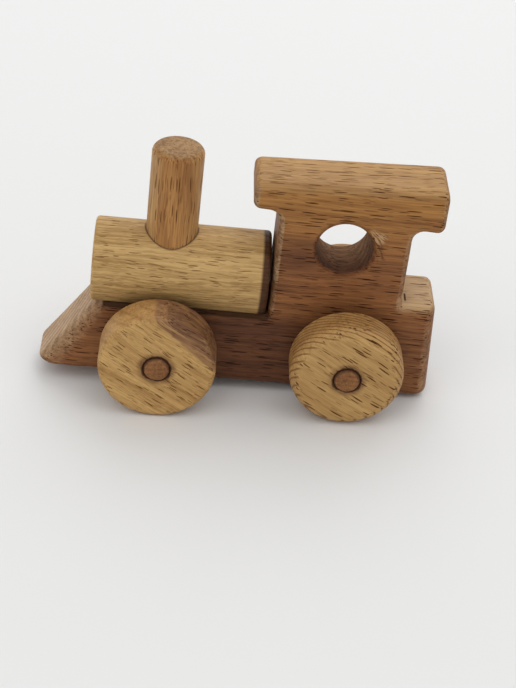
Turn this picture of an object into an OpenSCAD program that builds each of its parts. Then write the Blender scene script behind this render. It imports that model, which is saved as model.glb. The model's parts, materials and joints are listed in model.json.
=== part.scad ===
// Wooden toy train: a body sawn from one block, a dowel boiler that carries a dowel chimney,
// and two wheelsets whose axles turn in holes through the body.
// Millimetres. +X points to the nose, +Y to the train's left side, +Z up, with the ground at Z = 0.

/* [Body] */
// Width of the body, side to side
body_width = 24; // [21:0.5:28]
// Height of the ledge under the boiler, above the underside
front_ledge_height = 29; // [26:0.5:31]
// Height of the ledge behind the cab, above the underside
rear_ledge_height = 38.2; // [30:0.5:42]
// Length of the body behind the cab, at its foot
rear_ledge_length = 14.6; // [12.5:0.1:20]
// How far the rear end's upper edge stands ahead of its foot
rear_end_lean = 2.2; // [0:0.1:3]
// Length of the sloping nose, from the front ledge to its unrounded tip
nose_length = 21.3; // [16:0.1:28]
// Radius of the nose's tip, seen from the side
nose_tip_round = 1.2; // [0.5:0.1:3]
// Radius of the nose's two front corners, seen from above
nose_plan_round = 7; // [2.5:0.5:8]
// Radius of the sanded edges, but for those of the nose, the rear end and the roof's top
edge_round = 2.3; // [1.2:0.1:3]
// Radius of the sanded edges along the sloping nose
nose_edge_round = 4.5; // [1.5:0.1:5]
// Radius of the sanded edges along the rear ledge and down the rear end
ledge_edge_round = 4.2; // [1.5:0.1:6]
// How much rounder the corners are, seen from the side
corner_extra = 0.4; // [0.2:0.1:1]
// Fillet where a ledge meets the cab
ledge_fillet = 1.2; // [0.6:0.1:2.4]

/* [Cab and roof] */
// Length of the cab, front to back
cab_length = 46; // [42:0.5:54]
// Height of the roof's lower side at the front, above the body's underside
roof_front_underside = 71.3; // [66:0.1:76]
// Height of the roof's lower side at the rear, above the body's underside
roof_rear_underside = 67.5; // [62:0.1:74]
// Thickness of the roof at its front end
roof_front_thickness = 9.5; // [8:0.1:16]
// Thickness of the roof at its rear end
roof_rear_thickness = 15.8; // [8:0.1:18]
// How far the roof reaches past the front of the cab
roof_front_overhang = 9.5; // [7.5:0.5:14]
// How far the roof reaches past the back of the cab
roof_rear_overhang = 10.5; // [7.5:0.5:14]
// Fillet under the roof's overhangs
roof_fillet = 4; // [2.5:0.1:4.5]
// Radius of the sanded edges along the roof's top
roof_edge_round = 4.6; // [2:0.1:5]
// Diameter of the window through the cab
window_diameter = 19.5; // [16:0.5:25]
// Height of the window's centre above the body's underside
window_height = 57.4; // [54:0.1:60]
// How far the window sits ahead of the cab's middle
window_offset = -0.5; // [-3:0.1:3]
// Radius of the window's sanded rim
window_rim_round = 1.6; // [0.5:0.1:2.5]

/* [Boiler and chimney] */
// Diameter of the boiler dowel
boiler_diameter = 30; // [26:0.5:34]
// Length of the boiler dowel
boiler_length = 61.5; // [56:0.5:68]
// Radius of the boiler's end edges
boiler_end_round = 1.3; // [0.5:0.1:2.5]
// Depth of the flat planed along the boiler's lower side, which sits on the front ledge
boiler_flat = 4.5; // [3:0.1:5]
// How far the boiler reaches past the front ledge
boiler_overhang = 3; // [1:0.5:6]
// Diameter of the chimney dowel
chimney_diameter = 18; // [14:0.5:22]
// Height of the chimney above the top of the boiler
chimney_rise = 32; // [20:0.5:44]
// Distance from the boiler's front end back to the chimney's axis
chimney_setback = 26.5; // [22:0.5:34]
// Radius of the chimney's top edge
chimney_top_round = 2.5; // [1:0.1:4]
// Radius of the chimney's foot edge, in its hole
chimney_foot_round = 0.5; // [0.2:0.1:1]
// Diameter of the hidden pegs between the body and the boiler
peg_diameter = 6; // [4:0.5:8]
// Length of the hidden pegs, half of it in each piece
peg_length = 12; // [8:0.5:14]
// Distance of each hidden peg from its end of the boiler
peg_inset = 9; // [8:0.5:11]

/* [Wheels and axles] */
// Diameter of the front wheels
front_wheel_diameter = 41; // [37:0.5:45]
// Diameter of the rear wheels
rear_wheel_diameter = 40; // [36:0.5:44]
// Thickness of the wheels
wheel_thickness = 13.5; // [10:0.5:18]
// Radius of the front wheels' outer edge
front_wheel_round = 2; // [0.8:0.1:3.5]
// Radius of the rear wheels' outer edge
rear_wheel_round = 4.6; // [0.8:0.1:6]
// Radius of every wheel's inner edge
inner_wheel_round = 1.2; // [0.5:0.1:3]
// Radius of the rims of the wheels' axle holes
wheel_bore_round = 0.4; // [0.2:0.1:0.8]
// Diameter of the axle dowels
axle_diameter = 9; // [7:0.5:12]
// How far an axle stands proud of its wheels
axle_proud = 0.8; // [0.2:0.1:2]
// Radius of the axles' end edges
axle_end_round = 0.9; // [0.3:0.1:1.5]
// Distance between the axles, along the body
wheelbase = 66; // [60:0.5:72]
// Distance from the body's rear end to the rear axle
rear_axle_setback = 31.9; // [26:0.1:34]
// Gap between the ground and the underside at the front axle
front_ground_clearance = 4.6; // [3:0.1:7]
// Gap between the ground and the underside at the rear axle
rear_ground_clearance = 2.2; // [1.8:0.1:6]

/* [Fits] */
// Gap between the boiler and the front of the cab
boiler_gap = 1; // [0.5:0.1:3]
// Gap between a wheel's inner face and the widest piece beside it
wheel_side_clearance = 2.5; // [0.5:0.1:4]
// Running clearance around an axle in the body, on the radius
axle_clearance = 0.1; // [0.03:0.01:0.1]
// Glue gap around an axle in its wheels, on the radius
wheel_glue_gap = 0.15; // [0.05:0.01:0.3]
// Glue gap around the chimney in the boiler, on the radius
chimney_glue_gap = 0.15; // [0.05:0.01:0.3]
// Glue gap around the hidden pegs, on the radius and at each end
peg_glue_gap = 0.1; // [0.05:0.01:0.3]

/* [Hidden] */

// Smoothness of circles, and steps in each rounded corner and edge of the body
$fn = 72;
arc_steps = 6;
deep_steps = 4;
// How far the block's outermost slice lies outside its finished side
side_waste = 0.02;
// Smallest radius that a rounded corner keeps where its faces are drawn inwards
least_round = 0.3;
// How far a cutting tool runs past the face that it opens
overcut = 1;
// How far a rim's rounding is centred behind a smooth one, so that sanded rims keep a faint crease
rim_bite = 1.15;

// Wood colours
body_colour = [0.47, 0.31, 0.21];
boiler_colour = [0.72, 0.56, 0.34];
chimney_colour = [0.64, 0.44, 0.27];
wheel_colour = [0.73, 0.55, 0.35];
axle_colour = [0.45, 0.30, 0.19];

// The block's corners, seen from the side, are rounder than its sanded edges
corner_round = edge_round + corner_extra;

// Places along the body, measured from its rear end
cab_rear_x = rear_ledge_length;
cab_front_x = cab_rear_x + cab_length;
window_x = (cab_rear_x + cab_front_x) / 2 + window_offset;
boiler_rear_x = cab_front_x + boiler_gap;
boiler_front_x = boiler_rear_x + boiler_length;
chimney_x = boiler_front_x - chimney_setback;
slope_top_x = boiler_front_x - boiler_overhang;
nose_tip_x = slope_top_x + nose_length;
roof_front_x = cab_front_x + roof_front_overhang;
roof_rear_x = cab_rear_x - roof_rear_overhang;
rear_axle_x = rear_axle_setback;
front_axle_x = rear_axle_x + wheelbase;
rear_peg_x = boiler_rear_x + peg_inset;
front_peg_x = boiler_front_x - peg_inset;

// Heights above the body's underside
front_wheel_radius = front_wheel_diameter / 2;
rear_wheel_radius = rear_wheel_diameter / 2;
boiler_radius = boiler_diameter / 2;
boiler_axis_height = front_ledge_height + boiler_radius - boiler_flat;
front_axle_height = front_wheel_radius - front_ground_clearance;
rear_axle_height = rear_wheel_radius - rear_ground_clearance;

// The wheels stand clear of the body and of the boiler that overhangs it
wheel_inner_y = max(body_width, boiler_diameter) / 2 + wheel_side_clearance;
wheel_outer_y = wheel_inner_y + wheel_thickness;
axle_length = 2 * (wheel_outer_y + axle_proud);

// The body stands nose-up, because its rear axle hole is the higher one and its front wheels are the larger
axle_span = norm([wheelbase, rear_axle_height - front_axle_height]);
axle_rise = asin((front_wheel_radius - rear_wheel_radius) / axle_span);
pitch = axle_rise + atan2(rear_axle_height - front_axle_height, wheelbase);

// A point of the body, given along and above its underside, as x and z once the body is tilted
function tilted_x(along, above) = along * cos(pitch) - above * sin(pitch);
function tilted_z(along, above) = along * sin(pitch) + above * cos(pitch);

// The body is lifted onto its wheels, and centred between its nose and its rear end
lift = rear_wheel_radius - tilted_z(rear_axle_x, rear_axle_height);
nose_angle = atan2(front_ledge_height, nose_length);
nose_round_x = nose_tip_x - nose_tip_round / tan(nose_angle / 2);
nose_reach = tilted_x(nose_round_x, nose_tip_round) + nose_tip_round;
rear_angle = atan2(rear_ledge_height, rear_end_lean);
rear_foot_x = tilted_x(corner_round / tan(rear_angle / 2), corner_round);
rear_top_x = tilted_x(rear_end_lean + corner_round * tan(rear_angle / 2), rear_ledge_height - corner_round);
rear_reach = min(rear_foot_x, rear_top_x) - corner_round;
shift = -(nose_reach + rear_reach) / 2;

// Axle places over the ground
front_axle_ground_x = tilted_x(front_axle_x, front_axle_height) + shift;
rear_axle_ground_x = tilted_x(rear_axle_x, rear_axle_height) + shift;

// Carries a piece from the body's own frame, with its rear underside at zero, to its place over the ground
module on_body() {
    translate([shift, 0, lift])
        rotate([0, -pitch, 0])
            children();
}

// Turns a piece made along +Z to lie along +X
module along_x() {
    rotate([0, 90, 0]) children();
}

// Turns a piece made along +Z to lie along +Y
module along_y() {
    rotate([-90, 0, 0]) children();
}

// The waste left outside a rounded corner that points to +X and +Y, with the corner at the origin.
// With a bite over 1 the arc crosses both faces at a slight angle, and with 1 it runs smoothly into them
module corner_waste(radius, bite = 1) {
    depth = radius * bite;
    translate([-depth, -depth])
        difference() {
            square(depth + overcut);
            circle(r = norm([depth, depth - radius]));
        }
}

// A turned bar along +Z from zero, with its own rounding at its bottom and top edges
module turned_bar(radius, length, bottom_round, top_round) {
    rotate_extrude()
        difference() {
            square([radius, length]);
            translate([radius, length]) corner_waste(top_round);
            translate([radius, 0]) mirror([0, 1]) corner_waste(bottom_round);
        }
}

// Height of the roof's sloping lower side at a place along the body
function roof_underside(along) =
    roof_rear_underside
    + (roof_front_underside - roof_rear_underside) * (along - roof_rear_x) / (roof_front_x - roof_rear_x);

// The body's corners seen from the side, counter-clockwise from the rear underside, for a slice whose
// nose ends at a given place. Each has its own radius, then the radius of the sanded edges of the face
// that follows it
function outline_corners(tip_x) = [
    [0, 0, corner_round, edge_round],
    [tip_x, 0, nose_tip_round, nose_edge_round],
    [slope_top_x, front_ledge_height, corner_round, edge_round],
    [cab_front_x, front_ledge_height, ledge_fillet, edge_round],
    [cab_front_x, roof_underside(cab_front_x), roof_fillet, edge_round],
    [roof_front_x, roof_front_underside, corner_round, edge_round],
    [roof_front_x, roof_front_underside + roof_front_thickness, corner_round, roof_edge_round],
    [roof_rear_x, roof_rear_underside + roof_rear_thickness, corner_round, edge_round],
    [roof_rear_x, roof_rear_underside, corner_round, edge_round],
    [cab_rear_x, roof_underside(cab_rear_x), roof_fillet, edge_round],
    [cab_rear_x, rear_ledge_height, ledge_fillet, ledge_edge_round],
    [rear_end_lean, rear_ledge_height, corner_round, ledge_edge_round]
];

function flat_point(corner) = [corner[0], corner[1]];
function unit(vector) = vector / norm(vector);
function heading(vector) = atan2(vector[1], vector[0]);

// Turn between two headings, from -180 to 180, so that it is negative at an inner corner
function turn_between(first, second) = (second - first + 540) % 360 - 180;

// How far a rounded edge of a radius draws its face inwards, at a depth inside the block's side
function edge_inset(radius, depth) =
    let (into_round = min(radius, max(0, radius - depth)))
    radius - sqrt(radius ^ 2 - into_round ^ 2);

// The arc that rounds one corner, as points, once the faces before and after it are drawn inwards
function corner_arc(before, corner, after, inset_before, inset_after) =
    let (
        way_in = unit(flat_point(corner) - flat_point(before)),
        way_out = unit(flat_point(after) - flat_point(corner)),
        turn = turn_between(heading(way_in), heading(way_out)),
        moved = flat_point(corner) + (way_out * inset_before - way_in * inset_after) / sin(turn),
        radius = max(least_round, corner[2] - sign(turn) * min(inset_before, inset_after)),
        centre = moved + unit(way_out - way_in) * radius / cos(turn / 2)
    )
    [
        for (step = [0 : arc_steps])
            let (normal = heading(way_in) - 90 + turn * step / arc_steps)
            centre + sign(turn) * radius * [cos(normal), sin(normal)]
    ];

// The outline of the slice at a depth inside the block's side
function slice_outline(depth) =
    let (
        corners = outline_corners(nose_tip_x - edge_inset(nose_plan_round, depth)),
        count = len(corners)
    )
    [
        for (i = [0 : count - 1])
            let (before = corners[(i + count - 1) % count], after = corners[(i + 1) % count])
            let (inset_before = edge_inset(before[3], depth), inset_after = edge_inset(corners[i][3], depth))
            each corner_arc(before, corners[i], after, inset_before, inset_after)
    ];

// The block with its edges rounded, as a stack of slices from the right side to the left. Each side has
// its outermost slice just outside the finished side, then slices across its edges and across its
// deepest rounding
module rounded_stack() {
    round_depth = max(nose_plan_round, nose_edge_round, ledge_edge_round, roof_edge_round);
    edge_depths = [for (step = [1 : arc_steps]) edge_round * (1 - cos(90 * step / arc_steps))];
    deep_depths = [for (step = [1 : deep_steps]) edge_round + (round_depth - edge_round) * step / deep_steps];
    depths = concat([-side_waste], edge_depths, deep_depths);
    last_depth = len(depths) - 1;
    right_slices = [for (depth = depths) [depth - body_width / 2, depth]];
    left_slices = [for (i = [last_depth : -1 : 0]) [body_width / 2 - depths[i], depths[i]]];
    slices = concat(right_slices, left_slices);
    points = [
        for (slice = slices)
            for (point = slice_outline(slice[1]))
                [point[0], slice[0], point[1]]
    ];
    last = len(slices) - 1;
    around = len(points) / len(slices);
    wrap_faces = [
        for (ring = [0 : last - 1])
            for (i = [0 : around - 1])
                let (next = (i + 1) % around, here = ring * around)
                [here + i, here + next, here + around + next, here + around + i]
    ];
    right_face = [for (i = [around - 1 : -1 : 0]) i];
    left_face = [for (i = [0 : around - 1]) last * around + i];
    polyhedron(points = points, faces = concat(wrap_faces, [right_face, left_face]));
}

// The sawn block with all its edges sanded round, in the body's own frame, with its sides cut flat
module sanded_block() {
    block_length = nose_tip_x - min(0, roof_rear_x) + 2 * overcut;
    block_height = max(roof_front_underside + roof_front_thickness, roof_rear_underside + roof_rear_thickness)
        + 2 * overcut;
    intersection() {
        rounded_stack();
        translate([min(0, roof_rear_x) - overcut, -body_width / 2, -overcut])
            cube([block_length, body_width, block_height]);
    }
}

// What a hole with rounded rims takes away from a wall, along Z and centred on the wall
module flared_hole(radius, wall, rim_round) {
    rotate_extrude() {
        translate([0, -wall / 2 - overcut])
            square([radius, wall + 2 * overcut]);
        for (side = [0, 1])
            mirror([0, side])
                translate([radius, wall / 2])
                    mirror([1, 0])
                        corner_waste(rim_round, rim_bite);
    }
}

// A hole along Y right through the body
module axle_hole(along, above) {
    translate([along, -body_width / 2 - overcut, above])
        along_y() cylinder(r = axle_diameter / 2 + axle_clearance, h = body_width + 2 * overcut);
}

// A hidden peg, or with a gap the hole for it, centred on the glued faces
module peg_shape(along, gap) {
    length = peg_length + 2 * gap;
    translate([along, 0, front_ledge_height - length / 2])
        cylinder(d = peg_diameter + 2 * gap, h = length);
}

// A wheel on the train's left side, at its place along the ground
module left_wheel(ground_x, radius, outer_round) {
    color(wheel_colour)
        translate([ground_x, wheel_inner_y, radius])
            along_y()
                difference() {
                    turned_bar(radius, wheel_thickness, inner_wheel_round, outer_round);
                    translate([0, 0, wheel_thickness / 2])
                        flared_hole(axle_diameter / 2 + wheel_glue_gap, wheel_thickness, wheel_bore_round);
                }
}

// An axle at its place along the ground, at the height of its wheels' centres
module axle(ground_x, height) {
    color(axle_colour)
        translate([ground_x, -axle_length / 2, height])
            along_y() turned_bar(axle_diameter / 2, axle_length, axle_end_round, axle_end_round);
}

module body() {
    color(body_colour)
        on_body()
            difference() {
                sanded_block();
                translate([window_x, 0, window_height])
                    along_y() flared_hole(window_diameter / 2, body_width, window_rim_round);
                axle_hole(front_axle_x, front_axle_height);
                axle_hole(rear_axle_x, rear_axle_height);
                peg_shape(front_peg_x, peg_glue_gap);
                peg_shape(rear_peg_x, peg_glue_gap);
            }
}

module boiler() {
    color(boiler_colour)
        on_body()
            difference() {
                translate([boiler_rear_x, 0, boiler_axis_height])
                    along_x() turned_bar(boiler_radius, boiler_length, boiler_end_round, boiler_end_round);
                translate([boiler_rear_x - overcut, -boiler_radius, front_ledge_height - boiler_radius])
                    cube([boiler_length + 2 * overcut, boiler_diameter, boiler_radius]);
                translate([chimney_x, 0, boiler_axis_height])
                    cylinder(r = chimney_diameter / 2 + chimney_glue_gap, h = boiler_radius + overcut);
                peg_shape(front_peg_x, peg_glue_gap);
                peg_shape(rear_peg_x, peg_glue_gap);
            }
}

module chimney() {
    color(chimney_colour)
        on_body()
            translate([chimney_x, 0, boiler_axis_height])
                turned_bar(chimney_diameter / 2, boiler_radius + chimney_rise, chimney_foot_round,
                    chimney_top_round);
}

module front_boiler_peg() {
    color(axle_colour) on_body() peg_shape(front_peg_x, 0);
}

module rear_boiler_peg() {
    color(axle_colour) on_body() peg_shape(rear_peg_x, 0);
}

module front_axle() {
    axle(front_axle_ground_x, front_wheel_radius);
}

module rear_axle() {
    axle(rear_axle_ground_x, rear_wheel_radius);
}

module front_left_wheel() {
    left_wheel(front_axle_ground_x, front_wheel_radius, front_wheel_round);
}

module front_right_wheel() {
    mirror([0, 1, 0]) left_wheel(front_axle_ground_x, front_wheel_radius, front_wheel_round);
}

module rear_left_wheel() {
    left_wheel(rear_axle_ground_x, rear_wheel_radius, rear_wheel_round);
}

module rear_right_wheel() {
    mirror([0, 1, 0]) left_wheel(rear_axle_ground_x, rear_wheel_radius, rear_wheel_round);
}

body();
boiler();
chimney();
front_boiler_peg();
rear_boiler_peg();
front_axle();
rear_axle();
front_left_wheel();
front_right_wheel();
rear_left_wheel();
rear_right_wheel();
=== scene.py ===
"""Looks of the wooden toy train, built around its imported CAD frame, in metres."""

import json
import math
from collections import namedtuple

import bmesh
import bpy
from mathutils import Matrix, Vector


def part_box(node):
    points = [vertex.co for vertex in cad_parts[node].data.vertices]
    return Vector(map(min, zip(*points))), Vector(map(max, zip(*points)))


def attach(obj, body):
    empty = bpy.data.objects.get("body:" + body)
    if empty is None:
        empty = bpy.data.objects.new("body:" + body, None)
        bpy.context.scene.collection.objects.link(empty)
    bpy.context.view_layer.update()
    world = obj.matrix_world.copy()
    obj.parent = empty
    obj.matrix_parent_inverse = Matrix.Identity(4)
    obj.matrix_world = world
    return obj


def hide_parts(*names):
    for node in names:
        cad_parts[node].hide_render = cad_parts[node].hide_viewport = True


MM = 0.001
FRAME_HEIGHT_PX = 688
SENSOR_MM = 36.0

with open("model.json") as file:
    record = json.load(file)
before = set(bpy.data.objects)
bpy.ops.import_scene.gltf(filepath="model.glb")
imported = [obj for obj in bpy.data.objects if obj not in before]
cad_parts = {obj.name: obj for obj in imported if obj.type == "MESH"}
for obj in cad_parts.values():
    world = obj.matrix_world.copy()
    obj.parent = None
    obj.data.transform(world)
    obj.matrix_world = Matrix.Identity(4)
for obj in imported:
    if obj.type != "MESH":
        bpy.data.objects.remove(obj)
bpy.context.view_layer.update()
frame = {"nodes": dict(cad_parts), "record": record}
scene = bpy.context.scene
scene.view_settings.view_transform = "Standard"

# Sizes of the part, in millimetres. The body stands nose-up by its pitch, and its grain with it
BODY_PITCH = math.radians(2.083)
AXLE_RADIUS = 4.5
CHIMNEY_RADIUS = 9.0
# Distance from the boiler's middle forward to the chimney's axis
CHIMNEY_AHEAD = 4.25
WINDOW_RADIUS = 9.75
# The window is drilled out of square: it rises by this share towards the train's left side
WINDOW_RISE = 0.1
# What is nearer to the window's axis than this belongs to its rims
WINDOW_REACH = 12.0
# Vertices nearer than this are welded, and edges that turn by less than this are shaded smooth
WELD = 0.002
SMOOTH_ANGLE = math.radians(40)

# A colour mix shares its sockets' names with the other kinds of mix, so they are found by number
MIX_FACTOR = 0
MIX_FIRST = 6
MIX_SECOND = 7
MIX_RESULT = 2
NOISE_MIDDLE = 0.5
# How far points are scattered from a regular grid
SCATTER = 0.85

# The sanded and oiled surface
GLOSS = 0.2
ROUGHNESS = 0.42
BODY_ROUGHNESS = 0.45
DRY_ROUGHNESS = 0.95
DOWEL_ROUGHNESS = 0.35
PORE_DULLNESS = 0.5
FIBRE_DULLNESS = 0.15
FIBRE_HEIGHT = 0.5
BUMP_DEPTH = 0.3
RELIEF = 0.5
BOILER_RELIEF = 0.45
DOWEL_RELIEF = 0.4

# Patterns in the grain: a length along it, a width across it, and a shift that keeps it apart from others
DRIFT = (55.0, 20.0, 0.0)
CURL = (7.0, 4.0, 0.0)
YEARS = (120.0, 11.0, 3.0)
BAND = (80.0, 7.0, 0.0)
STREAK = (34.0, 1.0, 5.0)
FIBRE = (14.0, 0.42, 9.0)
RUB = (7.0, 9.0, 13.0)
MOTTLE = (9.0, 1.5, 17.0)
HEART = (50.0, 1.3, 31.0)
SOAK = (5.0, 3.0, 0.0)
# The drift's whole swing, from one side to the other
DRIFT_REACH = 4.0
STREAK_ROUGHNESS = 0.55
# Squared cosine between a face's normal and the grain at which end grain starts, and is full
END_GRAIN = (0.18, 0.5)
# Strengths of bands, streaks and fibres
CONTRAST = (1.6, 2.0, 1.6)
BODY_CONTRAST = (1.6, 1.8, 1.4)
BOILER_CONTRAST = (1.6, 2.4, 1.9)

# Pores: how near to its point a dash is dark, the share of that which is fully dark, the share of the shown
# dashes that are fully dark, and the share of the bold ones that show
PORE_REACH = 0.3
PORE_CORE = 0.8
FULL_PORES = 0.7
BOLD_SHARE = 0.7
# Fainter pores between the bold ones: the share of them that show, and their length, width and depth as
# shares of the bold ones'
FAINT_SHARE = 0.6
FAINT_LENGTH = 0.6
FAINT_WIDTH = 0.7
FAINT_DEPTH = 0.5
FAINT_SHIFT = 21.0
END_GRAIN_PORE_DEPTH = 0.3
PORE_TINT = (0.20, 0.115, 0.07)
# Length, width and depth of the pores
BODY_PORES = (11.0, 0.72, 1.0)
BOILER_PORES = (9.5, 0.6, 0.7)
CHIMNEY_PORES = (12.0, 0.74, 0.78)
# Length and width of the pores in a dowel, and the share of them that show
DOWEL_PORES = (5.0, 0.6, 0.4)

# Tones: the wood and its darker streaks, in linear light
BODY_RED = ((0.350, 0.142, 0.048), (0.140, 0.051, 0.019))
BODY_GOLDEN = ((0.48, 0.236, 0.062), (0.255, 0.100, 0.026))
# Painted shade on the chassis between the wheels
BODY_RECESS_SHADE = ((0.135, 0.048, 0.021), (0.052, 0.019, 0.010))
BODY_DARKER_RED = ((0.175, 0.064, 0.027), (0.080, 0.028, 0.013))
# Up-facing tones: partly lost oil, partly painted sheen and light from above
BODY_DRIED_AND_SHEEN = ((0.57, 0.355, 0.150), (0.36, 0.198, 0.072))
BODY_LOW_DRIED_AND_SHEEN = ((0.61, 0.415, 0.228), (0.43, 0.270, 0.130))
BODY_NOSE_DRIED_AND_SHEEN = ((0.67, 0.480, 0.325), (0.47, 0.315, 0.190))
# Painted shadow on the ledge under the boiler
BODY_LEDGE_SHADOW = ((0.070, 0.026, 0.011), (0.034, 0.013, 0.006))
BODY_RUBBED = ((0.46, 0.29, 0.15), (0.19, 0.092, 0.042))
BORE_RAW = ((0.40, 0.228, 0.122), (0.185, 0.100, 0.053))
# Painted light and painted shade in the window's bore
BORE_PAINTED_LIGHT = ((0.56, 0.325, 0.178), (0.28, 0.155, 0.085))
BORE_PAINTED_SHADE = ((0.082, 0.013, 0.007), (0.040, 0.006, 0.003))
BOILER_YELLOW = ((0.64, 0.412, 0.166), (0.375, 0.218, 0.074))
BOILER_GRIME = ((0.066, 0.016, 0.004), (0.030, 0.008, 0.002))
CHIMNEY_BROWN = ((0.51, 0.255, 0.082), (0.27, 0.110, 0.033))
CHIMNEY_TOP = ((0.41, 0.260, 0.116), (0.30, 0.172, 0.069))
# Painted sheen and light on the chimney's sides
CHIMNEY_FRONT_SHEEN = ((0.72, 0.465, 0.210), (0.43, 0.235, 0.090))
CHIMNEY_BACK_SHEEN = ((0.60, 0.360, 0.145), (0.38, 0.190, 0.070))
WHEEL_YELLOW = ((0.65, 0.402, 0.150), (0.38, 0.200, 0.063))
WHEEL_TREAD = ((0.50, 0.270, 0.092), (0.28, 0.122, 0.040))
WHEEL_BROWN_HEART = ((0.34, 0.168, 0.080), (0.18, 0.084, 0.040))
WHEEL_DEEP_HEART = ((0.205, 0.092, 0.042), (0.10, 0.043, 0.019))
WHEEL_SOAKED = ((0.26, 0.130, 0.048), (0.15, 0.068, 0.026))
DOWEL_BROWN = ((0.34, 0.148, 0.050), (0.17, 0.070, 0.024))

# Places on the body, in millimetres from the window's middle: along the grain, sideways to the left,
# upwards, or away from the window's axis. Two numbers are where a change starts and ends. Three are a zone's
# start and end, and its fade on both sides. LOOKING_UP and TURNING are told by the parts of a face's normal
GOLDEN_HEIGHTS = (-10.0, 24.0)
GOLDEN_SHARE = 0.8
# Where the painted shade between the wheels lies
RECESS_SHADE_LENGTH = (6.0, 66.0, 12.0)
RECESS_SHADE_HEIGHTS = (-34.0, -25.0)
RECESS_SHADE_SHARE = 0.75
DARK_PATCH_MIDDLE = (15.0, 0.0, -4.0)
DARK_PATCH_SHAPE = (1.0, 0.0, 1.3)
DARK_PATCH_RADII = (2.0, 13.0)
DARK_PATCH_SHARE = 0.7
LOOKING_UP = (0.1, 0.95)
DRIED_AND_SHEEN_RADII = (11.0, 13.5)
DRIED_AND_SHEEN_SHARE = 0.6
LOW_HEIGHTS = (-16.0, -8.0)
LOW_SHARE = 0.8
NOSE_LENGTH = (60.0, 75.0)
LEDGE_LENGTH = (20.0, 81.0, 1.5)
LEDGE_HEIGHTS = (-34.0, -24.5, 1.5)
LEDGE_LOOKING_UP = (0.05, 0.4)
LEDGE_SHADOW_SHARE = 0.95
# Rubbed edges. Four numbers are where a change starts and ends, and its values there
TURNING = (0.0005, 0.06)
RUB_PATCHES = (0.3, 0.65, 0.1, 0.5)
RUB_FRONT = (5.0, 15.0, 1.0, 3.0)
RUB_LEFT = (-6.0, 6.0, 0.4, 1.0)
RUB_NOSE = (60.0, 80.0, 1.0, 0.35)
RUB_RADII = (12.0, 13.5)
BELOW_BOILER_LENGTH = (18.0, 81.0, 1.5)
BELOW_BOILER_HEIGHTS = (-26.5, -25.0)
# The window's rim and bore, with painted light and painted shade in the bore
RIM_RADII = (WINDOW_RADIUS + 0.4, WINDOW_RADIUS + 2.2)
RIM_SHARE = 0.5
BORE_RADII = (WINDOW_RADIUS - 0.1, WINDOW_RADIUS + 0.3)
BORE_SHARE = 0.9
BORE_PAINTED_LIGHT_LENGTH = (-8.0, -4.0)
BORE_PAINTED_LIGHT_SHARE = 0.6
BORE_PAINTED_SHADE_SIDE = (-4.0, 11.0)
BORE_PAINTED_SHADE_SHARE = 0.8
DRY_RADII = (WINDOW_RADIUS + 0.2, WINDOW_RADIUS + 2.0)
DRY_SHARES = (0.0, 0.8)
# Growth rings on the body's sawn ends: their middle, width, unevenness, and the dark part of the year
BODY_RINGS = ((-34.0, -75.0), 2.6, 0.6)
BODY_RING_LINE = (0.25, 0.45, 0.3)
BODY_RING_SHARE = 0.45
BODY_RING_TINT = (0.45, 0.36, 0.28)
# A fan of chisel marks: how far its tip is behind and above the window's middle, how many lines it has per
# radian, how many waves per millimetre, and where its pale and its dark marks are
FAN_BEHIND = 6.4
FAN_ABOVE = 11.3
FAN_LINES = 11.0
FAN_WAVES = 0.25
FAN_RADII = (WINDOW_RADIUS + 0.3, WINDOW_RADIUS + 1.0)
FAN_SIDE = (9.0, 11.0)
PALE_MARK = (0.50, 0.33, 0.17)
PALE_MARK_SHARE = 0.9
PALE_MARK_ANGLES = (-0.95, -0.55, 0.2)
PALE_MARK_REACH = (3.5, 8.0, 2.0)
PALE_MARK_LINES = (0.46, 0.56)
DARK_MARK = (0.060, 0.025, 0.013)
DARK_MARK_SHARE = 0.55
DARK_MARK_DEPTH = 0.6
DARK_MARK_ANGLES = (-1.45, -1.0, 0.2)
DARK_MARK_REACH = (7.0, 13.5, 3.0)
DARK_MARK_LINES = (0.42, 0.5)
# A saw kerf in the corner behind the cab, and a scratched patch beside it
KERF_LENGTH = (-24.25, -23.9, 0.3)
KERF_SIDE = (4.4, 7.6, 1.4)
KERF_HEIGHTS = (-20.4, -17.6, 0.5)
KERF_TONE = (0.034, 0.014, 0.008)
KERF_SHARE = 0.9
SCRATCH_LENGTH = (-23.5, -22.0, 2.5)
SCRATCH_HEIGHTS = (-19.5, -16.5, 3.0)
SCRATCH_SIDE = (9.5, 11.0)
SCRATCH_SCALE = (1.2, 0.6, 0.3)
SCRATCH_LINES = (0.40, 0.60)
SCRATCH_TONE = (0.47, 0.30, 0.16)
SCRATCH_SHARE = 0.7

# The boiler: how far its grain curls, and places from its middle
BOILER_CURL = 1.2
GRIMY_LENGTH = (-28.6, -27.4)
GRIMY_SHARE = 0.95
FOOT_RADII = (CHIMNEY_RADIUS + 0.2, CHIMNEY_RADIUS + 0.8)
FOOT_HEIGHTS = (0.0, 3.0)
FOOT_SHARE = 0.85
FOOT_TONE = (0.10, 0.050, 0.020)

# Faces of the chimney, by a part of their normal
TOP_FACING = (0.5, 1.0)
TOP_SHARE = 0.75
FRONT_FACING = (0.4, 0.95)
FRONT_SHARE = 0.85
BACK_FACING = (-0.95, -0.3)
BACK_SHARE = 0.9
MOTTLES = (0.45, 0.62)
MOTTLE_SHARE = 0.6
MOTTLE_TINT = (0.50, 0.37, 0.27)

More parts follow.
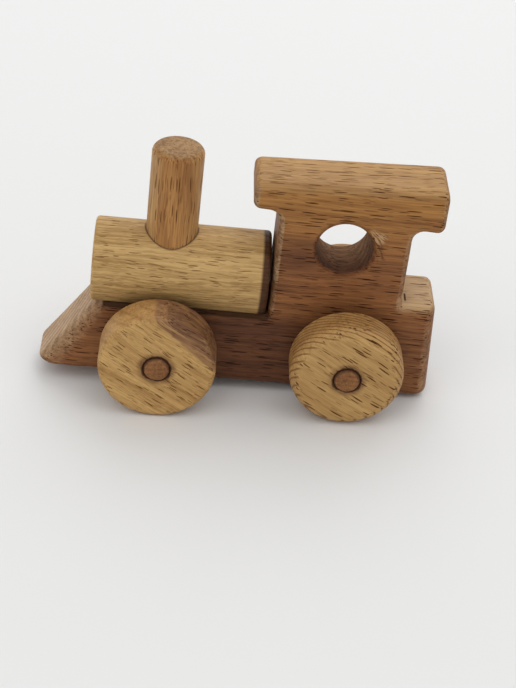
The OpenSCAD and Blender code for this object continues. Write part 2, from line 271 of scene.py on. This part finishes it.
# Wheels: the distance from the centre to the edge of the heartwood, and by how many degrees that edge leans
# more than the grain
HEART_CHORD = 13.6
HEART_LEAN = 9.0
HEART_EDGE = (HEART_CHORD - 0.5, HEART_CHORD + 0.5)
DEEP_HEART_EDGE = (HEART_CHORD + 2.4, HEART_CHORD + 3.2)
HEART_STRIPES = (0.38, 0.62)
HEART_STRIPE_LOW = 0.55
TREAD_FACING = (0.0, 0.95)
TREAD_SHARE = 0.5
SOAK_RADII = (AXLE_RADIUS + 1.0, AXLE_RADIUS + 3.0)
SOAK_STRENGTH = 1.3
WHEEL_RING_UNEVENNESS = 0.35
WHEEL_RING_LINE = (0.2, 0.3, 0.15)
WHEEL_RING_FACING = (0.75, 0.98, 1.0, 0.15)
WHEEL_RING_TINT = (0.40, 0.29, 0.20)
GLUE_SCALE = (0.3, 0.3, 0.3)
GLUE_RAGGEDNESS = -2.2
GLUE_RADII = (AXLE_RADIUS - 0.6, AXLE_RADIUS)
GLUE_SHARE = 0.95
GLUE_TONE = (0.055, 0.022, 0.010)

# Dowels: growth rings as for the body, and the glue at their edge
DOWEL_RINGS = ((0.0, -200.0), 1.9, 1.6)
DOWEL_RING_LINE = (0.3, 0.4, 0.3)
DOWEL_RING_SHARE = 0.3
DOWEL_RING_TINT = (0.45, 0.34, 0.25)
EDGE_SCALE = (0.4, 0.4, 0.4)
EDGE_RAGGEDNESS = 1.6
EDGE_RADII = (AXLE_RADIUS, AXLE_RADIUS + 0.8)
EDGE_SHARE = 0.8
EDGE_TONE = (0.075, 0.030, 0.014)

BODY_SEED = (3.1, 7.4, 1.2)
BOILER_SEED = (9.5, 2.3, 6.6)
CHIMNEY_SEED = (5.2, 4.4, 8.1)
DOWEL_SEEDS = {
    "front_axle": (1.7, 6.1, 3.8),
    "rear_axle": (8.6, 2.4, 5.3),
    "front_boiler_peg": (3.3, 9.2, 0.7),
    "rear_boiler_peg": (6.9, 4.8, 2.1),
}

# lean is how steeply the grain rises towards the nose across the wheel's face, in degrees. pores are a
# length, a width and a depth. heart is how strongly the wood beyond the chord shows as heartwood
Wheel = namedtuple("Wheel", "lean seed shade curl contrast pores pith ring_width ring_share heart")
WHEELS = {
    "front_left_wheel": Wheel(
        lean=34.0, seed=(2.2, 8.3, 4.7), shade=1.0, curl=1.6, contrast=1.4, pores=(8.0, 0.75, 0.75),
        pith=(-22.0, 40.0), ring_width=4.2, ring_share=0.25, heart=0.95),
    "rear_left_wheel": Wheel(
        lean=33.0, seed=(7.9, 1.6, 9.3), shade=0.93, curl=0.6, contrast=1.2, pores=(10.0, 1.0, 0.95),
        pith=(-120.0, 70.0), ring_width=1.5, ring_share=0.85, heart=0.0),
    "front_right_wheel": Wheel(
        lean=-21.0, seed=(4.4, 5.7, 2.9), shade=0.97, curl=1.0, contrast=1.2, pores=(10.0, 0.9, 0.8),
        pith=(90.0, 24.0), ring_width=1.8, ring_share=0.3, heart=0.0),
    "rear_right_wheel": Wheel(
        lean=64.0, seed=(6.3, 3.2, 7.1), shade=0.95, curl=1.5, contrast=1.1, pores=(9.0, 0.85, 0.8),
        pith=(140.0, -26.0), ring_width=1.4, ring_share=0.35, heart=0.7),
}

# The floor and the light
FLOOR_HALF = 4.0
FLOOR_TONE = (0.84, 0.84, 0.83, 1.0)
FLOOR_ROUGHNESS = 0.7
SKY_TONE = (0.99, 0.995, 1.0, 1.0)
SKY_STRENGTH = 0.57
BACKDROP_TONE = (0.88, 0.88, 0.88, 1.0)
WINDOW_LIGHT_ANGLE = math.radians(45)

# The photograph's camera, from a fit to the photograph's outlines
CAMERA_PLACE_MM = (15.190, 512.544, 361.939)
CAMERA_RIGHT = (-0.997779, 0.00067, 0.066606)
CAMERA_UP = (0.054599, -0.564549, 0.823592)
FOCAL_PX = 1709.94


def middle_mm(node):
    """The middle of a CAD node's box, in millimetres."""
    low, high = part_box(node)
    return (Vector(low) + Vector(high)) / (2 * MM)


def mount_mm(name):
    """The place of one of the record's mounts, in millimetres."""
    places = [mount["pos_m"] for mount in frame["record"]["mounts"] if mount["name"] == name]
    return Vector(places[0]) / MM


class Nodes:
    """The node tree of one material or world, with a short call for each kind of node used here."""

    def __init__(self, owner):
        owner.use_nodes = True
        self.tree = owner.node_tree
        self.tree.nodes.clear()

    def add(self, kind, **settings):
        node = self.tree.nodes.new(kind)
        for key, value in settings.items():
            setattr(node, key, value)
        return node

    def put(self, socket, value):
        """Links another node's socket to this one, or sets it to a constant."""
        if isinstance(value, bpy.types.NodeSocket):
            self.tree.links.new(value, socket)
        else:
            socket.default_value = value

    def math(self, operation, *values, clamp=False):
        node = self.add("ShaderNodeMath", operation=operation, use_clamp=clamp)
        for socket, value in zip(node.inputs, values):
            self.put(socket, value)
        return node.outputs[0]

    def times(self, *values):
        product = values[0]
        for value in values[1:]:
            product = self.math("MULTIPLY", product, value)
        return product

    def largest(self, *values):
        result = values[0]
        for value in values[1:]:
            result = self.math("MAXIMUM", result, value)
        return result

    def length(self, first, second):
        """The length of the longest side of a right-angled triangle."""
        squares = self.math("ADD", self.times(first, first), self.times(second, second))
        return self.math("SQRT", squares)

    def vector(self, operation, *values):
        node = self.add("ShaderNodeVectorMath", operation=operation)
        for socket, value in zip(node.inputs, values):
            self.put(socket, value)
        return node.outputs["Value" if operation == "DISTANCE" else "Vector"]

    def mapped(self, vector, scale=(1, 1, 1), turn=(0, 0, 0), shift=(0, 0, 0)):
        node = self.add("ShaderNodeMapping")
        self.put(node.inputs["Vector"], vector)
        node.inputs["Scale"].default_value = scale
        node.inputs["Rotation"].default_value = turn
        node.inputs["Location"].default_value = shift
        return node.outputs["Vector"]

    def noise(self, vector, detail=2.0, roughness=0.5, output="Fac"):
        node = self.add("ShaderNodeTexNoise")
        self.put(node.inputs["Vector"], vector)
        node.inputs["Scale"].default_value = 1.0
        node.inputs["Detail"].default_value = detail
        node.inputs["Roughness"].default_value = roughness
        return node.outputs[output]

    def cells(self, vector):
        """The distance to the nearest scattered point, and a random number that belongs to that point."""
        node = self.add("ShaderNodeTexVoronoi")
        self.put(node.inputs["Vector"], vector)
        node.inputs["Scale"].default_value = 1.0
        node.inputs["Randomness"].default_value = SCATTER
        split = self.add("ShaderNodeSeparateColor")
        self.tree.links.new(node.outputs["Color"], split.inputs["Color"])
        return node.outputs["Distance"], split.outputs["Red"]

    def step(self, value, start, end, low=0.0, high=1.0):
        """A smooth step from low at start to high at end."""
        node = self.add("ShaderNodeMapRange", interpolation_type="SMOOTHSTEP")
        self.put(node.inputs["Value"], value)
        node.inputs["From Min"].default_value = start
        node.inputs["From Max"].default_value = end
        node.inputs["To Min"].default_value = low
        node.inputs["To Max"].default_value = high
        return node.outputs["Result"]

    def rise(self, value, start, end, share=1.0):
        """Zero up to start, and this share from end on."""
        return self.step(value, start, end, 0.0, share)

    def fade(self, value, start, end, share=1.0):
        """This share up to start, and zero from end on."""
        return self.step(value, start, end, share, 0.0)

    def between(self, value, start, end, fade):
        """One from start to end, and fading to zero on both sides."""
        return self.times(self.rise(value, start - fade, start), self.fade(value, end, end + fade))

    def mix(self, factor, first, second, blend="MIX"):
        node = self.add("ShaderNodeMix", data_type="RGBA", blend_type=blend)
        self.put(node.inputs[MIX_FACTOR], factor)
        for number, value in ((MIX_FIRST, first), (MIX_SECOND, second)):
            colour = value if isinstance(value, bpy.types.NodeSocket) else (*value, 1.0)
            self.put(node.inputs[number], colour)
        return node.outputs[MIX_RESULT]

    def darken(self, factor, colour, tint):
        """Multiplies a share of the colour by a tint."""
        return self.mix(factor, colour, tint, blend="MULTIPLY")

    def split(self, vector):
        node = self.add("ShaderNodeSeparateXYZ")
        self.put(node.inputs[0], vector)
        return node.outputs


class Oak(Nodes):
    """A solid oak texture in millimetres about a piece's middle. The grain runs along x in its own frame."""

    def __init__(self, name, middle, grain_turn, seed, curl=0.0):
        self.material = bpy.data.materials.new(name)
        super().__init__(self.material)
        self.seed = seed
        place = self.add("ShaderNodeTexCoord")
        place_mm = self.vector("SCALE", place.outputs["Object"])
        place_mm.node.inputs["Scale"].default_value = 1 / MM
        self.place = self.vector("SUBTRACT", place_mm, tuple(middle))
        self.normal = self.split(place.outputs["Normal"])
        self.wood = self.mapped(self.place, turn=grain_turn)
        facing = self.split(self.mapped(place.outputs["Normal"], turn=grain_turn))[0]
        self.end_grain = self.rise(self.times(facing, facing), *END_GRAIN)
        self.warped = self.wander(curl)

    def stretch(self, vector, length, width, shift):
        """Coordinates in which a patch of this length along the grain and this width is one unit."""
        seeded = tuple(part + shift for part in self.seed)
        return self.mapped(vector, scale=(1 / length, 1 / width, 1 / width), shift=seeded)

    def wander(self, curl):
        """The grain drifts sideways by a millimetre or two along its length, and curls in shorter waves."""
        drifting = self.wood
        for pattern, reach in ((DRIFT, DRIFT_REACH), (CURL, curl)):
            wave = self.noise(self.stretch(self.wood, *pattern), output="Color")
            swing = self.vector("SUBTRACT", wave, (NOISE_MIDDLE,) * 3)
            drifting = self.vector("ADD", drifting, self.vector("MULTIPLY", swing, (0.0, reach, reach)))
        return drifting

    def rings(self, pith, width, unevenness):
        """Growth rings about a line along the grain, as the share of the year that has passed."""
        across = self.vector("MULTIPLY", self.warped, (0.0, 1.0, 1.0))
        radius = self.vector("DISTANCE", across, (0.0, *pith))
        uneven = self.noise(self.stretch(self.warped, *YEARS), detail=1.0)
        years = self.math("MULTIPLY_ADD", uneven, unevenness, self.math("DIVIDE", radius, width))
        return self.math("FRACT", years)

    def dashes(self, length, width, share, shift=0.0):
        """Open pores cut lengthways, as dark dashes. Each has this much room, and a share of them show."""
        away, chance = self.cells(self.stretch(self.warped, length, width, shift))
        dash = self.fade(away, PORE_REACH * PORE_CORE, PORE_REACH)
        depth = self.fade(chance, share * FULL_PORES, share)
        return self.times(dash, depth)

    def streaks(self, length, width, shift, detail=2.0):
        """Bands along the grain, around the middle of the noise."""
        stretched = self.stretch(self.warped, length, width, shift)
        return self.noise(stretched, detail=detail, roughness=STREAK_ROUGHNESS)

    def swing(self, value, amount):
        """A band's difference from its middle tone."""
        return self.math("MULTIPLY", self.math("SUBTRACT", value, NOISE_MIDDLE), amount)

    def from_axis(self, rise=0.0):
        """The distance from a line through the middle, along y, that rises by this share."""
        x, y, z = self.split(self.place)
        return self.length(x, self.math("MULTIPLY_ADD", y, -rise, z))

    def finish(self, colour, pores, fibre, roughness=ROUGHNESS, relief=RELIEF):
        """Joins the colour to a sanded and oiled surface, with the pores as dull grooves."""
        shader = self.add("ShaderNodeBsdfPrincipled")
        self.put(shader.inputs["Base Color"], colour)
        shader.inputs["Specular IOR Level"].default_value = GLOSS
        dull = self.math("MULTIPLY_ADD", pores, PORE_DULLNESS, roughness)
        dull = self.math("MULTIPLY_ADD", fibre, FIBRE_DULLNESS, dull, clamp=True)
        self.put(shader.inputs["Roughness"], dull)
        height = self.math("SUBTRACT", self.math("MULTIPLY", fibre, FIBRE_HEIGHT), pores)
        bump = self.add("ShaderNodeBump")
        bump.inputs["Strength"].default_value = relief
        bump.inputs["Distance"].default_value = BUMP_DEPTH * MM
        self.put(bump.inputs["Height"], height)
        self.put(shader.inputs["Normal"], bump.outputs["Normal"])
        output = self.add("ShaderNodeOutputMaterial")
        self.put(output.inputs["Surface"], shader.outputs["BSDF"])
        return self.material


class Tones:
    """The lighter and the darker tone of a wood, each of which may change from place to place."""

    def __init__(self, oak, light, dark):
        self.oak = oak
        self.light = light
        self.dark = dark

    def turn(self, share, pair):
        """Turns a share of both tones to another pair, so that the grain still shows there."""
        light, dark = pair
        self.light = self.oak.mix(share, self.light, light)
        self.dark = self.oak.mix(share, self.dark, dark)

    def colour(self, contrast):
        """The wood's colour from broad bands, narrow streaks and fine fibres, and the fibres themselves."""
        oak = self.oak
        band, streak, hair = contrast
        broad = oak.swing(oak.streaks(*BAND), band)
        narrow = oak.swing(oak.streaks(*STREAK, detail=3.0), streak)
        fibre = oak.streaks(*FIBRE)
        tone = oak.math("ADD", oak.math("ADD", broad, narrow), oak.swing(fibre, hair))
        tone = oak.math("ADD", tone, NOISE_MIDDLE, clamp=True)
        return oak.mix(tone, self.dark, self.light), fibre


def pore_lines(oak, colour, length, width, depth):
    """Darkens the open pores: bold dashes, and fainter, shorter ones between them. Gives the pores as well.
    On end grain they are only dots, and fainter."""
    bold = oak.dashes(length, width, BOLD_SHARE)
    faint = oak.dashes(length * FAINT_LENGTH, width * FAINT_WIDTH, FAINT_SHARE, shift=FAINT_SHIFT)
    shown = oak.step(oak.end_grain, 0.0, 1.0, depth, END_GRAIN_PORE_DEPTH * depth)
    pores = oak.times(oak.largest(bold, oak.times(faint, FAINT_DEPTH)), shown)
    return oak.darken(pores, colour, PORE_TINT), pores


def age_body(oak, tones, from_window):
    """Turns the body's tones from place to place. Gives the part of the ledge under the boiler, where the
    boiler's shadow is painted.
    """
    x, _, z = oak.split(oak.wood)
    # The top of the block is golden
    tones.turn(oak.rise(z, *GOLDEN_HEIGHTS, GOLDEN_SHARE), BODY_GOLDEN)
    # Painted shade: the chassis is darkened between the wheels, where shade falls
    recess_shade = oak.times(oak.between(x, *RECESS_SHADE_LENGTH), oak.fade(z, *RECESS_SHADE_HEIGHTS))
    tones.turn(oak.times(recess_shade, RECESS_SHADE_SHARE), BODY_RECESS_SHADE)
    # A patch of the side ahead of the window is darker and redder
    from_dark_patch = oak.vector("DISTANCE", oak.vector("MULTIPLY", oak.wood, DARK_PATCH_SHAPE), DARK_PATCH_MIDDLE)
    tones.turn(oak.fade(from_dark_patch, *DARK_PATCH_RADII, DARK_PATCH_SHARE), BODY_DARKER_RED)
    # Faces that look up are paler, partly from lost oil and partly as painted sheen and light from above;
    # the low ones more, and the nose most
    looking_up = oak.times(oak.rise(oak.normal[2], *LOOKING_UP), oak.rise(from_window, *DRIED_AND_SHEEN_RADII))
    tones.turn(oak.times(looking_up, DRIED_AND_SHEEN_SHARE), BODY_DRIED_AND_SHEEN)
    low_face = oak.times(looking_up, oak.fade(z, *LOW_HEIGHTS, LOW_SHARE))
    tones.turn(low_face, BODY_LOW_DRIED_AND_SHEEN)
    tones.turn(oak.times(low_face, oak.rise(x, *NOSE_LENGTH)), BODY_NOSE_DRIED_AND_SHEEN)
    # Painted shadow: the ledge under the boiler is darkened
    ledge = oak.times(oak.between(x, *LEDGE_LENGTH), oak.between(z, *LEDGE_HEIGHTS))
    ledge_shadow = oak.times(ledge, oak.rise(oak.normal[2], *LEDGE_LOOKING_UP))
    tones.turn(oak.times(ledge_shadow, LEDGE_SHADOW_SHARE), BODY_LEDGE_SHADOW)
    return ledge_shadow


def rub_edges(oak, tones, from_window):
    """The upright edges are rubbed pale, more at the front and on the train's left side."""
    x, y, z = oak.split(oak.wood)
    turning = oak.times(oak.normal[0], oak.normal[0], oak.normal[1], oak.normal[1])
    patches = oak.step(oak.streaks(*RUB, detail=4.0), *RUB_PATCHES)
    rubbed = oak.times(patches, oak.step(x, *RUB_FRONT), oak.step(y, *RUB_LEFT))
    below_boiler = oak.times(oak.between(x, *BELOW_BOILER_LENGTH), oak.fade(z, *BELOW_BOILER_HEIGHTS))
    spared = oak.times(oak.fade(below_boiler, 0.0, 1.0), oak.step(x, *RUB_NOSE))
    worn = oak.times(oak.rise(turning, *TURNING), rubbed, spared, oak.rise(from_window, *RUB_RADII))
    tones.turn(worn, BODY_RUBBED)


def tint_and_shade_window(oak, tones, from_window):
    """The window's rim is darker and redder. Its bore is raw, greyer wood, with painted light on its side
    towards the tail and painted shade on the train's left side.
    """
    x, y, _ = oak.split(oak.wood)
    tones.turn(oak.fade(from_window, *RIM_RADII, RIM_SHARE), BODY_DARKER_RED)
    bore = oak.fade(from_window, *BORE_RADII)
    tones.turn(oak.times(bore, BORE_SHARE), BORE_RAW)
    # Painted light: the bore's side towards the tail is paler
    tones.turn(oak.times(bore, oak.fade(x, *BORE_PAINTED_LIGHT_LENGTH, BORE_PAINTED_LIGHT_SHARE)), BORE_PAINTED_LIGHT)
    # Painted shade: the bore darkens towards the train's left side
    tones.turn(oak.times(bore, oak.rise(y, *BORE_PAINTED_SHADE_SIDE, BORE_PAINTED_SHADE_SHARE)), BORE_PAINTED_SHADE)


def chisel_marks(oak, colour, from_window):
    """Adds a fan of marks beside the window on the train's left side, from a slipped tool. Gives the
    colour, and the dark marks."""
    x, y, z = oak.split(oak.place)
    along = oak.math("ADD", x, FAN_BEHIND)
    above = oak.math("SUBTRACT", z, FAN_ABOVE)
    angle = oak.math("ARCTAN2", above, oak.math("MULTIPLY", along, -1.0))
    reach = oak.length(along, above)
    polar = oak.add("ShaderNodeCombineXYZ")
    oak.put(polar.inputs["X"], oak.math("MULTIPLY", angle, FAN_LINES))
    oak.put(polar.inputs["Y"], oak.math("MULTIPLY", reach, FAN_WAVES))
    line = oak.noise(polar.outputs["Vector"])
    outside = oak.times(oak.rise(from_window, *FAN_RADII), oak.rise(y, *FAN_SIDE))
    pale_fan = oak.times(outside, oak.between(angle, *PALE_MARK_ANGLES))
    pale_fan = oak.times(pale_fan, oak.between(reach, *PALE_MARK_REACH))
    pale = oak.times(pale_fan, oak.rise(line, *PALE_MARK_LINES))
    dark_fan = oak.times(outside, oak.between(angle, *DARK_MARK_ANGLES))
    dark_fan = oak.times(dark_fan, oak.between(reach, *DARK_MARK_REACH))
    dark = oak.times(dark_fan, oak.fade(line, *DARK_MARK_LINES))
    colour = oak.mix(oak.times(pale, PALE_MARK_SHARE), colour, PALE_MARK)
    return oak.mix(oak.times(dark, DARK_MARK_SHARE), colour, DARK_MARK), dark


def saw_marks(oak, colour):
    """Adds a saw kerf that ran on into the corner behind the cab, and scratches beside it. Gives the
    colour, and the kerf."""
    x, y, z = oak.split(oak.wood)
    kerf = oak.times(oak.between(x, *KERF_LENGTH), oak.between(z, *KERF_HEIGHTS))
    kerf = oak.times(kerf, oak.between(y, *KERF_SIDE))
    patch = oak.times(oak.between(x, *SCRATCH_LENGTH), oak.between(z, *SCRATCH_HEIGHTS))
    patch = oak.times(patch, oak.rise(y, *SCRATCH_SIDE))
    lines = oak.rise(oak.noise(oak.mapped(oak.place, scale=SCRATCH_SCALE)), *SCRATCH_LINES)
    colour = oak.mix(oak.times(patch, lines, SCRATCH_SHARE), colour, SCRATCH_TONE)
    return oak.mix(oak.times(kerf, KERF_SHARE), colour, KERF_TONE), kerf


def body_wood():
    oak = Oak("body_wood", mount_mm("window"), (0.0, BODY_PITCH, 0.0), BODY_SEED)
    from_window = oak.from_axis(WINDOW_RISE)
    tones = Tones(oak, *BODY_RED)
    ledge_shadow = age_body(oak, tones, from_window)
    rub_edges(oak, tones, from_window)
    tint_and_shade_window(oak, tones, from_window)
    colour, fibre = tones.colour(BODY_CONTRAST)
    # Growth rings show on the sawn ends
    ring = oak.between(oak.rings(*BODY_RINGS), *BODY_RING_LINE)
    colour = oak.darken(oak.times(oak.end_grain, ring, BODY_RING_SHARE), colour, BODY_RING_TINT)
    colour, pores = pore_lines(oak, colour, *BODY_PORES)
    colour, dark_marks = chisel_marks(oak, colour, from_window)
    colour, kerf = saw_marks(oak, colour)
    grooves = oak.largest(pores, kerf, oak.times(dark_marks, DARK_MARK_DEPTH))
    # The bore, and the ledge under the boiler where its shadow is painted, were never rubbed with oil
    dry = oak.largest(oak.fade(from_window, *DRY_RADII), ledge_shadow)
    roughness = oak.step(dry, *DRY_SHARES, BODY_ROUGHNESS, DRY_ROUGHNESS)
    return oak.finish(colour, grooves, fibre, roughness)


def boiler_wood():
    oak = Oak("boiler_wood", middle_mm("boiler"), (0.0, BODY_PITCH, 0.0), BOILER_SEED, BOILER_CURL)
    x, y, z = oak.split(oak.wood)
    tones = Tones(oak, *BOILER_YELLOW)
    # Handling grime on the end by the cab
    tones.turn(oak.fade(x, *GRIMY_LENGTH, GRIMY_SHARE), BOILER_GRIME)
    colour, fibre = tones.colour(BOILER_CONTRAST)
    colour, pores = pore_lines(oak, colour, *BOILER_PORES)
    # The glue line round the chimney's foot
    from_chimney = oak.length(oak.math("SUBTRACT", x, CHIMNEY_AHEAD), y)
    foot = oak.times(oak.fade(from_chimney, *FOOT_RADII, FOOT_SHARE), oak.rise(z, *FOOT_HEIGHTS))
    colour = oak.mix(foot, colour, FOOT_TONE)
    return oak.finish(colour, pores, fibre, relief=BOILER_RELIEF)


def chimney_wood():
    upright = Matrix.Rotation(BODY_PITCH + math.radians(90), 3, "Y").to_euler()
    oak = Oak("chimney_wood", middle_mm("chimney"), tuple(upright), CHIMNEY_SEED)
    tones = Tones(oak, *CHIMNEY_BROWN)
    tones.turn(oak.rise(oak.normal[2], *TOP_FACING, TOP_SHARE), CHIMNEY_TOP)
    # Painted sheen and light: its sides towards the nose and the tail are paler, the one towards the nose
    # more
    tones.turn(oak.rise(oak.normal[0], *FRONT_FACING, FRONT_SHARE), CHIMNEY_FRONT_SHEEN)
    tones.turn(oak.fade(oak.normal[0], *BACK_FACING, BACK_SHARE), CHIMNEY_BACK_SHEEN)
    colour, fibre = tones.colour(CONTRAST)
    mottled = oak.times(oak.rise(oak.streaks(*MOTTLE, detail=3.0), *MOTTLES), oak.end_grain)
    colour = oak.darken(oak.times(mottled, MOTTLE_SHARE), colour, MOTTLE_TINT)
    colour, pores = pore_lines(oak, colour, *CHIMNEY_PORES)
    return oak.finish(colour, pores, fibre)


def wheel_wood(node, wheel):
    grain_turn = (0.0, math.radians(wheel.lean), 0.0)
    oak = Oak(node + "_wood", middle_mm(node), grain_turn, wheel.seed, wheel.curl)
    from_axle = oak.from_axis()
    light, dark = WHEEL_YELLOW
    tones = Tones(oak, Vector(light) * wheel.shade, Vector(dark) * wheel.shade)
    # The tread is end grain, which drinks more oil
    sideways = oak.times(oak.normal[1], oak.normal[1])
    tones.turn(oak.fade(sideways, *TREAD_FACING, TREAD_SHARE), WHEEL_TREAD)
    # Heartwood, in two stages
    stripe_low = HEART_STRIPE_LOW * wheel.heart
    stripe = oak.step(oak.streaks(*HEART), *HEART_STRIPES, stripe_low, wheel.heart)
    across = oak.split(oak.mapped(oak.warped, turn=(0.0, math.radians(HEART_LEAN), 0.0)))[2]
    tones.turn(oak.times(oak.rise(across, *HEART_EDGE), stripe), WHEEL_BROWN_HEART)
    tones.turn(oak.times(oak.rise(across, *DEEP_HEART_EDGE), stripe), WHEEL_DEEP_HEART)
    # Glue has soaked into the wood round the axle
    soaked = oak.times(oak.fade(from_axle, *SOAK_RADII, SOAK_STRENGTH), oak.streaks(*SOAK))
    tones.turn(soaked, WHEEL_SOAKED)
    colour, fibre = tones.colour((wheel.contrast,) * 3)
    year = oak.rings(wheel.pith, wheel.ring_width, WHEEL_RING_UNEVENNESS)
    ring = oak.times(oak.between(year, *WHEEL_RING_LINE), oak.step(sideways, *WHEEL_RING_FACING))
    colour = oak.darken(oak.times(ring, wheel.ring_share), colour, WHEEL_RING_TINT)
    colour, pores = pore_lines(oak, colour, *wheel.pores)
    uneven = oak.noise(oak.mapped(oak.place, scale=GLUE_SCALE))
    ragged = oak.math("MULTIPLY_ADD", uneven, GLUE_RAGGEDNESS, from_axle)
    glue = oak.fade(ragged, *GLUE_RADII, GLUE_SHARE)
    colour = oak.mix(glue, colour, GLUE_TONE)
    return oak.finish(colour, oak.largest(pores, glue), fibre)


def dowel_wood(node, seed):
    """The wood of an axle or a peg."""
    lengthways = Matrix.Rotation(math.radians(90), 3, "Z").to_euler()
    oak = Oak(node + "_wood", middle_mm(node), tuple(lengthways), seed)
    tones = Tones(oak, *DOWEL_BROWN)
    colour, fibre = tones.colour(CONTRAST)
    ring = oak.between(oak.rings(*DOWEL_RINGS), *DOWEL_RING_LINE)
    colour = oak.darken(oak.times(ring, DOWEL_RING_SHARE), colour, DOWEL_RING_TINT)
    # Glue has darkened the edge
    uneven = oak.noise(oak.mapped(oak.place, scale=EDGE_SCALE))
    ragged = oak.math("MULTIPLY_ADD", uneven, EDGE_RAGGEDNESS, oak.from_axis())
    colour = oak.mix(oak.rise(ragged, *EDGE_RADII, EDGE_SHARE), colour, EDGE_TONE)
    pores = oak.dashes(*DOWEL_PORES)
    return oak.finish(colour, pores, fibre, DOWEL_ROUGHNESS, DOWEL_RELIEF)


def drill_window_out_of_square(mesh):
    """Slides the window's rims up and down their sides, as the photographed hole leans."""
    window = mount_mm("window") * MM
    for vertex in mesh.vertices:
        away = math.hypot(vertex.co.x - window.x, vertex.co.z - window.z)
        if away < WINDOW_REACH * MM:
            vertex.co.z += WINDOW_RISE * vertex.co.y


def smooth_copy(node, name):
    """A copy of a CAD node's mesh with its facets welded, and shaded smooth across its small steps."""
    source = frame["nodes"][node].data
    places = [vertex.co.copy() for vertex in source.vertices]
    faces = [tuple(polygon.vertices) for polygon in source.polygons]
    mesh = bpy.data.meshes.new(name)
    mesh.from_pydata(places, [], faces)
    work = bmesh.new()
    work.from_mesh(mesh)
    bmesh.ops.remove_doubles(work, verts=work.verts, dist=WELD * MM)
    bmesh.ops.dissolve_degenerate(work, edges=work.edges, dist=WELD * MM)
    work.to_mesh(mesh)
    work.free()
    mesh.shade_smooth()
    mesh.set_sharp_from_angle(angle=SMOOTH_ANGLE)
    piece = bpy.data.objects.new(name, mesh)
    scene.collection.objects.link(piece)
    weighted = piece.modifiers.new("flat_faces", "WEIGHTED_NORMAL")
    weighted.keep_sharp = True
    return piece


def dress(node, material):
    """Gives a CAD node its wood."""
    piece = frame["nodes"][node]
    piece.data.materials.clear()
    piece.data.materials.append(material)


def add_body():
    """The body is shown by a smooth copy, whose window leans."""
    piece = smooth_copy("body", "sanded_body")
    drill_window_out_of_square(piece.data)
    piece.data.materials.append(body_wood())
    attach(piece, "train")
    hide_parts("body")


def add_pieces():
    add_body()
    dress("boiler", boiler_wood())
    dress("chimney", chimney_wood())
    for node, seed in DOWEL_SEEDS.items():
        dress(node, dowel_wood(node, seed))
    for node, wheel in WHEELS.items():
        dress(node, wheel_wood(node, wheel))


def add_floor():
    corners = [(-1, -1), (1, -1), (1, 1), (-1, 1)]
    mesh = bpy.data.meshes.new("floor")
    mesh.from_pydata([(FLOOR_HALF * x, FLOOR_HALF * y, 0) for x, y in corners], [], [(0, 1, 2, 3)])
    floor = bpy.data.objects.new("floor", mesh)
    scene.collection.objects.link(floor)
    material = bpy.data.materials.new("pale_floor")
    nodes = Nodes(material)
    shader = nodes.add("ShaderNodeBsdfPrincipled")
    shader.inputs["Base Color"].default_value = FLOOR_TONE
    shader.inputs["Roughness"].default_value = FLOOR_ROUGHNESS
    output = nodes.add("ShaderNodeOutputMaterial")
    nodes.put(output.inputs["Surface"], shader.outputs["BSDF"])
    mesh.materials.append(material)


def add_lamp(lamp, place):
    """Puts a lamp where it shines at the toy."""
    holder = bpy.data.objects.new(lamp.name, lamp)
    scene.collection.objects.link(holder)
    holder.location = place
    holder.rotation_mode = "QUATERNION"
    holder.rotation_quaternion = (-place).to_track_quat("-Z", "Y")


def add_softbox(name, place, size, watts):
    lamp = bpy.data.lights.new(name, "AREA")
    lamp.size = size
    lamp.energy = watts
    add_lamp(lamp, place)


def add_window_light(name, place, strength):
    """Soft light from far away, which reaches the whole floor evenly."""
    lamp = bpy.data.lights.new(name, "SUN")
    lamp.angle = WINDOW_LIGHT_ANGLE
    lamp.energy = strength
    add_lamp(lamp, place)


def add_sky():
    """Soft light from all round, and a pale backdrop for what is seen, reflected or seen through."""
    world = bpy.data.worlds.new("studio")
    scene.world = world
    nodes = Nodes(world)
    sky = nodes.add("ShaderNodeBackground")
    sky.inputs["Color"].default_value = SKY_TONE
    sky.inputs["Strength"].default_value = SKY_STRENGTH
    backdrop = nodes.add("ShaderNodeBackground")
    backdrop.inputs["Color"].default_value = BACKDROP_TONE
    backdrop.inputs["Strength"].default_value = 1.0
    path = nodes.add("ShaderNodeLightPath")
    rays = ("Is Camera Ray", "Is Glossy Ray", "Is Transmission Ray")
    shown = nodes.largest(*(path.outputs[ray] for ray in rays))
    choice = nodes.add("ShaderNodeMixShader")
    values = (shown, sky.outputs["Background"], backdrop.outputs["Background"])
    for socket, value in zip(choice.inputs, values):
        nodes.put(socket, value)
    output = nodes.add("ShaderNodeOutputWorld")
    nodes.put(output.inputs["Surface"], choice.outputs["Shader"])


def add_light():
    add_sky()
    add_softbox("back_softbox", Vector((-0.3, -1.4, 1.8)), size=1.8, watts=16.0)
    add_window_light("right_window", Vector((-0.8, 0.4, 1.8)), strength=0.40)
    add_window_light("left_window", Vector((0.8, 0.9, 1.5)), strength=0.43)


def add_camera():
    right = Vector(CAMERA_RIGHT)
    up = Vector(CAMERA_UP)
    data = bpy.data.cameras.new("camera")
    data.sensor_width = SENSOR_MM
    data.lens = FOCAL_PX * SENSOR_MM / FRAME_HEIGHT_PX
    camera = bpy.data.objects.new("camera", data)
    scene.collection.objects.link(camera)
    turn = Matrix((right, up, right.cross(up))).transposed()
    camera.matrix_world = Matrix.Translation(Vector(CAMERA_PLACE_MM) * MM) @ turn.to_4x4()
    scene.camera = camera


add_camera()
add_light()
add_floor()
add_pieces()
